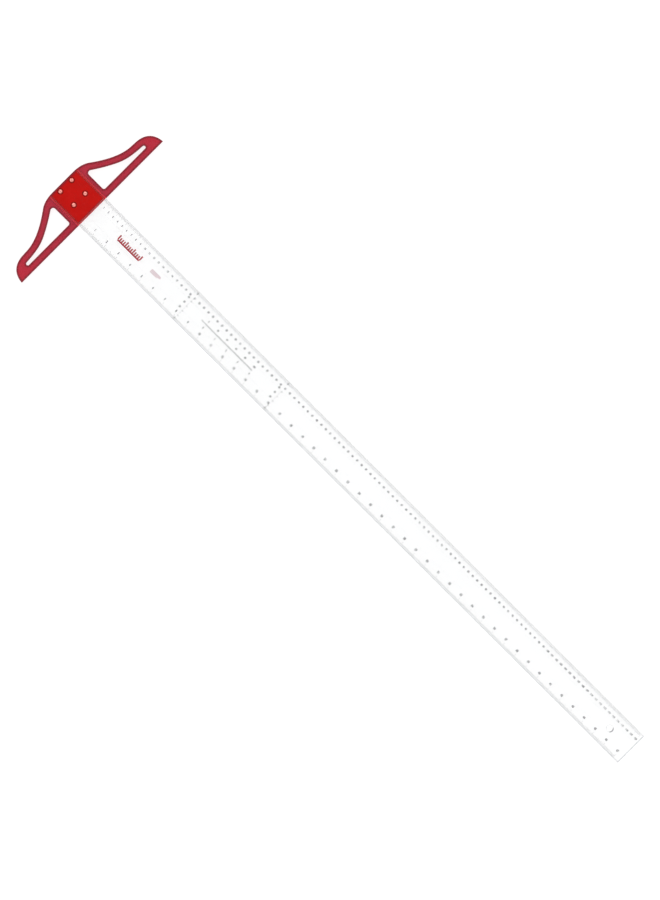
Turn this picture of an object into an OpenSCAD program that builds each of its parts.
// T-square with a fixed head, for use against the left edge of a drawing board.
// A clear bevelled blade lies in a channel of the moulded head. A cover plate clamps it there with
// four cheese-head screws, which run into nuts held in hexagonal pockets under the head.
// Millimetres. The origin is on the head's working edge, at the blade's centre line, level with the
// blade's underside. +X runs along the blade to its tip, +Y along the working edge, and +Z is up.

/* [Blade] */
// Length from the head's working edge to the tip
ruling_length = 1205; // [600:1:1500]
// Width between the two ruling edges
blade_width = 60; // [54:1:62]
// Thickness of the sheet
blade_thickness = 3; // [2.5:0.1:4]
// Width of the bevel along each ruling edge
bevel_width = 2.5; // [1:0.1:4]
// Height of the square land under each bevel
edge_land = 1.2; // [0.6:0.1:2]
// Diameter of the hanging hole
hanging_hole_d = 10; // [6:0.5:14]
// Distance from the tip to the hanging hole's centre
hanging_hole_inset = 48; // [20:1:80]

/* [Head] */
// Length of the head along its working edge
head_length = 311; // [300:1:330]
// Depth of the head behind the working edge
head_depth = 65; // [63:1:70]
// How far the head reaches below the blade's underside
head_drop = 7.5; // [7:0.1:12]
// How far the rims stand above the blade's underside
rim_height = 2.2; // [1.5:0.1:2.4]
// Width of the rim round the arms and round their windows
rim_width = 2.5; // [1.5:0.1:3]
// Width of the lip between the blade's channel and the recessed web
lip_width = 1; // [0.8:0.1:1.5]
// Thickness of the web between the rims
web_thickness = 2.4; // [1.5:0.1:3]
// Depth of the web's top face below the rims
web_recess = 0.8; // [0.3:0.1:1.2]
// Thickness of the seat under the blade
seat_thickness = 2.4; // [2.2:0.1:2.6]
// Width of the ribs under the seat
rib_width = 2.5; // [1.5:0.1:4]
// Chamfer along the top of the blade's channel
channel_chamfer = 0.8; // [0.3:0.1:1]

/* [Cover plate] */
// Thickness of the cover plate
plate_thickness = 2.5; // [2.2:0.1:3]
// Distance of the plate's front edge behind the working edge
plate_front = 3; // [1:0.5:6]
// Thickness of the wall that closes the channel behind the blade and the plate
rear_wall = 1.8; // [1.2:0.1:2]
// Chamfer round the plate's top face
plate_chamfer = 0.6; // [0.2:0.1:1]
// Radius of the plate's corners
plate_corner_r = 1.5; // [0.5:0.1:3]

/* [Screws and nuts] */
// Distance of the front pair of screws behind the working edge
front_screws = 28; // [20:0.5:34]
// Distance between the front and the rear pair
screw_spacing_x = 29.5; // [24:0.5:30]
// Distance between the two screws of a pair
screw_spacing_y = 25; // [20:0.5:30]
// Thread diameter
thread_d = 4; // [3:0.5:4]
// Screw length under the head
screw_length = 10; // [9.5:0.1:11]
// Diameter of the screw heads
screw_head_d = 7; // [6:0.1:7.5]
// Height of the screw heads, dome included
screw_head_height = 2.6; // [2.2:0.1:3]
// Height of the domed top of the screw heads
screw_dome = 0.7; // [0.3:0.1:1]
// Diameter of the counterbores that the screw heads sit in
counterbore_d = 9.6; // [8.5:0.1:10]
// Depth of the counterbores
counterbore_depth = 1.1; // [0.6:0.1:1.2]
// Width across the flats of the nuts
nut_af = 7; // [5.5:0.5:7]
// Height of the nuts
nut_height = 3.2; // [2.4:0.1:3.4]

/* [Hidden] */
$fn = 96;
SCREWS = [1:4];
SCREW_NODES = [for (i = SCREWS) str("clamp_screw_", i)];
NUT_NODES = [for (i = SCREWS) str("clamp_nut_", i)];

// Gaps between parts that fit together
slide_gap = 0.15;
thread_gap = 0.03;
pocket_gap = 0.05;
hole_gap = 0.15;
// Lets one cutter run past a face
past = 1;

half_blade = blade_width / 2;
flat_half = half_blade - bevel_width;
half_channel = half_blade + slide_gap;
half_head = head_length / 2;
tongue = head_depth - rear_wall;
plate_z = blade_thickness;
plate_top = plate_z + plate_thickness;
screw_seat = plate_top - counterbore_depth;
web_top = rim_height - web_recess;
web_bottom = web_top - web_thickness;
hole_r = thread_d / 2 + hole_gap;
boss_r = 6.5;
tip_bevel = 0.5;
nut_chamfer = 0.4;
slot_width = 1.1;
slot_depth = 1.2;
// Each screw is driven home to an angle of its own
slot_angles = [20, 65, -35, 5];

// The screws' places: front pair, then rear pair
screw_places = [
    [-front_screws, screw_spacing_y / 2],
    [-front_screws, -screw_spacing_y / 2],
    [-front_screws - screw_spacing_x, screw_spacing_y / 2],
    [-front_screws - screw_spacing_x, -screw_spacing_y / 2]
];

// The windows of the arms: straight sides, corner radii and the radius of the narrow end
window_front = -11.7;
window_rear = -48.6;
window_side = 37.3;
window_end = 128;
window_front_r = 3.3;
window_rear_r = 4.2;
window_end_r = 2.6;
tray_side = window_side - rim_width;

// Points of a cubic Bezier curve, without its last one
function bezier(p, steps = 20) = [
    for (i = [0:steps - 1])
        let (t = i / steps, u = 1 - t)
        u * u * u * p[0] + 3 * u * u * t * p[1] + 3 * u * t * t * p[2] + t * t * t * p[3]
];

// Points of an arc, without its last one
function arc(centre, r, from, to, steps = 8) = [
    for (i = [0:steps - 1])
        let (a = from + (to - from) * i / steps)
        centre + r * [cos(a), sin(a)]
];

function mirrored_y(points) = [for (i = [len(points) - 1:-1:0]) [points[i].x, -points[i].y]];

function unit(v) = v / norm(v);

function left_of(a, b) = unit([a.y - b.y, b.x - a.x]);

// A closed outline with every side moved by d to the left of its direction
function moved_left(points, d) = [
    for (i = [0:len(points) - 1])
        let (
            before = points[(i + len(points) - 1) % len(points)],
            here = points[i],
            after = points[(i + 1) % len(points)],
            side = left_of(before, here),
            mitre = unit(side + left_of(here, after))
        )
        here + mitre * d / (mitre * side)
];

// One arm's outer edge, from the rear of the head round to the pointed tip
arm_edge = concat(
    bezier([[-head_depth, 22], [-head_depth, 32], [-63.3, 43], [-57, 51.5]]),
    bezier([[-57, 51.5], [-44.4, 69], [-31.3, 91], [-29.5, 112.5]]),
    bezier([[-29.5, 112.5], [-29.3, 116], [-29.2, 119], [-29, 122.5]], 2),
    bezier([[-29, 122.5], [-28.6, 146.5], [-14.5, half_head - 1.1], [0, half_head]]),
    [[0, half_head]]
);

// Clockwise, so that the inside is to the right
head_outline = concat(mirrored_y(arm_edge), arm_edge);

// The long triangular window of the +Y arm, clockwise
window_outline = concat(
    [[window_rear, window_side + window_rear_r]],
    bezier([[window_rear, 43], [-46, 47.3], [-36.4, 60.5], [-26.1, 82]]),
    bezier([[-26.1, 82], [-18.5, 98], [-17.9, 114], [window_front - 2 * window_end_r, window_end]]),
    arc([window_front - window_end_r, window_end], window_end_r, 180, 0),
    [[window_front, window_end]],
    arc([window_front - window_front_r, window_side + window_front_r], window_front_r, 0, -90),
    [[window_front - window_front_r, window_side]],
    arc([window_rear + window_rear_r, window_side + window_rear_r], window_rear_r, -90, -180)
);

module both_sides() {
    children();
    mirror([0, 1, 0]) children();
}

module at_screws() {
    for (place = screw_places)
        translate(place) children();
}

// A prism along X, from an outline in Y and Z
module bar(from, to, outline) {
    translate([from, 0, 0])
        rotate([90, 0, 90])
        linear_extrude(to - from)
        polygon(outline);
}

// The stretch of one arm between its rims, from from_y outwards. The outline is carried past the
// working edge before it is moved inwards, so that the sharp tip doesn't fold over.
module web_area(from_y) {
    ahead = [[head_depth, half_head], [head_depth, -half_head]];
    difference() {
        polygon(moved_left(concat(head_outline, ahead), -rim_width));
        polygon(moved_left(window_outline, rim_width));
        translate([-head_depth, -half_head]) square([head_depth, half_head + from_y]);
        translate([-rim_width, -half_head]) square([2 * head_depth, head_length]);
    }
}

// The tray under the seat, round the screw bosses and the two crossing ribs
module tray_area() {
    middle = -front_screws - screw_spacing_x / 2;
    difference() {
        translate([-head_depth + rim_width, -tray_side])
            square([head_depth - 2 * rim_width, 2 * tray_side]);
        at_screws() circle(boss_r);
        translate([-head_depth, -rib_width / 2]) square([head_depth, rib_width]);
        translate([middle - rib_width / 2, -tray_side]) square([rib_width, 2 * tray_side]);
    }
}

module channel() {
    top = rim_height + past;
    bar(-tongue - slide_gap, past, [
        [-half_channel, 0],
        [half_channel, 0],
        [half_channel, rim_height - channel_chamfer],
        [half_channel + channel_chamfer + past, top],
        [-half_channel - channel_chamfer - past, top],
        [-half_channel, rim_height - channel_chamfer]
    ]);
}

module nut_pocket() {
    translate([0, 0, -head_drop - past])
        rotate(30)
        cylinder(h = head_drop + past - seat_thickness, r = (nut_af / 2 + pocket_gap) / cos(30), $fn = 6);
}

module head() {
    color([0.70, 0.13, 0.20])
    difference() {
        translate([0, 0, -head_drop]) linear_extrude(head_drop + rim_height) polygon(head_outline);
        channel();
        both_sides() {
            translate([0, 0, -head_drop - past])
                linear_extrude(head_drop + rim_height + 2 * past)
                polygon(window_outline);
            translate([0, 0, web_top])
                linear_extrude(rim_height)
                web_area(half_channel + channel_chamfer + lip_width);
            translate([0, 0, -head_drop - past])
                linear_extrude(web_bottom + head_drop + past)
                web_area(tray_side);
        }
        translate([0, 0, -head_drop - past])
            linear_extrude(head_drop + past - seat_thickness)
            tray_area();
        at_screws() {
            translate([0, 0, -head_drop]) cylinder(h = head_drop + past, r = hole_r);
            nut_pocket();
        }
    }
}

module blade() {
    color([0.85, 0.92, 0.94, 0.45])
    difference() {
        bar(-tongue, ruling_length, [
            [-half_blade, 0],
            [half_blade, 0],
            [half_blade, edge_land],
            [flat_half, blade_thickness],
            [-flat_half, blade_thickness],
            [-half_blade, edge_land]
        ]);
        at_screws() translate([0, 0, -past]) cylinder(h = blade_thickness + 2 * past, r = hole_r);
        translate([ruling_length - hanging_hole_inset, 0, -past])
            cylinder(h = blade_thickness + 2 * past, d = hanging_hole_d);
    }
}

// The section of a plate with a chamfered top face
function plate_section(half) = [
    [-half, plate_z],
    [half, plate_z],
    [half, plate_top - plate_chamfer],
    [half - plate_chamfer, plate_top],
    [plate_chamfer - half, plate_top],
    [-half, plate_top - plate_chamfer]
];

module rounded_rectangle(length, width, r) {
    square([length - 2 * r, width], center = true);
    square([length, width - 2 * r], center = true);
    for (x = [-1, 1], y = [-1, 1])
        translate([x * (length / 2 - r), y * (width / 2 - r)]) circle(r);
}

module cover_plate() {
    length = tongue - plate_front;
    middle = -plate_front - length / 2;
    color([0.78, 0.09, 0.07])
    difference() {
        intersection() {
            bar(-tongue, -plate_front, plate_section(flat_half));
            translate([middle, 0, 0]) rotate(90) bar(-flat_half, flat_half, plate_section(length / 2));
            translate([middle, 0, 0])
                linear_extrude(plate_top)
                rounded_rectangle(length, 2 * flat_half, plate_corner_r);
        }
        at_screws() {
            cylinder(h = plate_top + past, r = hole_r);
            translate([0, 0, screw_seat]) cylinder(h = counterbore_depth + past, d = counterbore_d);
        }
    }
}

// A slotted cheese-head screw with a domed top
module clamp_screw(i) {
    head_r = screw_head_d / 2;
    head_top = screw_seat + screw_head_height;
    dome_r = (head_r * head_r + screw_dome * screw_dome) / (2 * screw_dome);
    color([0.86, 0.85, 0.84])
    translate(screw_places[i - 1])
    difference() {
        union() {
            translate([0, 0, screw_seat - screw_length])
                cylinder(h = tip_bevel, d1 = thread_d - 2 * tip_bevel, d2 = thread_d);
            translate([0, 0, screw_seat - screw_length + tip_bevel])
                cylinder(h = screw_length - tip_bevel + past, d = thread_d);
            intersection() {
                translate([0, 0, screw_seat]) cylinder(h = screw_head_height, r = head_r);
                translate([0, 0, head_top - dome_r]) sphere(dome_r);
            }
        }
        rotate(slot_angles[i - 1])
            translate([-screw_head_d, -slot_width / 2, head_top - slot_depth])
            cube([2 * screw_head_d, slot_width, slot_depth + past]);
    }
}

// A hexagonal nut with chamfered corners, drawn up against the seat
module clamp_nut(i) {
    corner_r = nut_af / 2 / cos(30);
    face_r = nut_af / 2;
    color([0.74, 0.74, 0.76])
    translate(concat(screw_places[i - 1], [-seat_thickness - nut_height]))
    difference() {
        intersection() {
            rotate(30) cylinder(h = nut_height, r = corner_r, $fn = 6);
            rotate_extrude() polygon([
                [0, 0],
                [face_r, 0],
                [corner_r, nut_chamfer],
                [corner_r, nut_height - nut_chamfer],
                [face_r, nut_height],
                [0, nut_height]
            ]);
        }
        translate([0, 0, -past]) cylinder(h = nut_height + 2 * past, r = thread_d / 2 + thread_gap);
    }
}

head();
blade();
cover_plate();
for (i = SCREWS) {
    clamp_screw(i);
    clamp_nut(i);
}
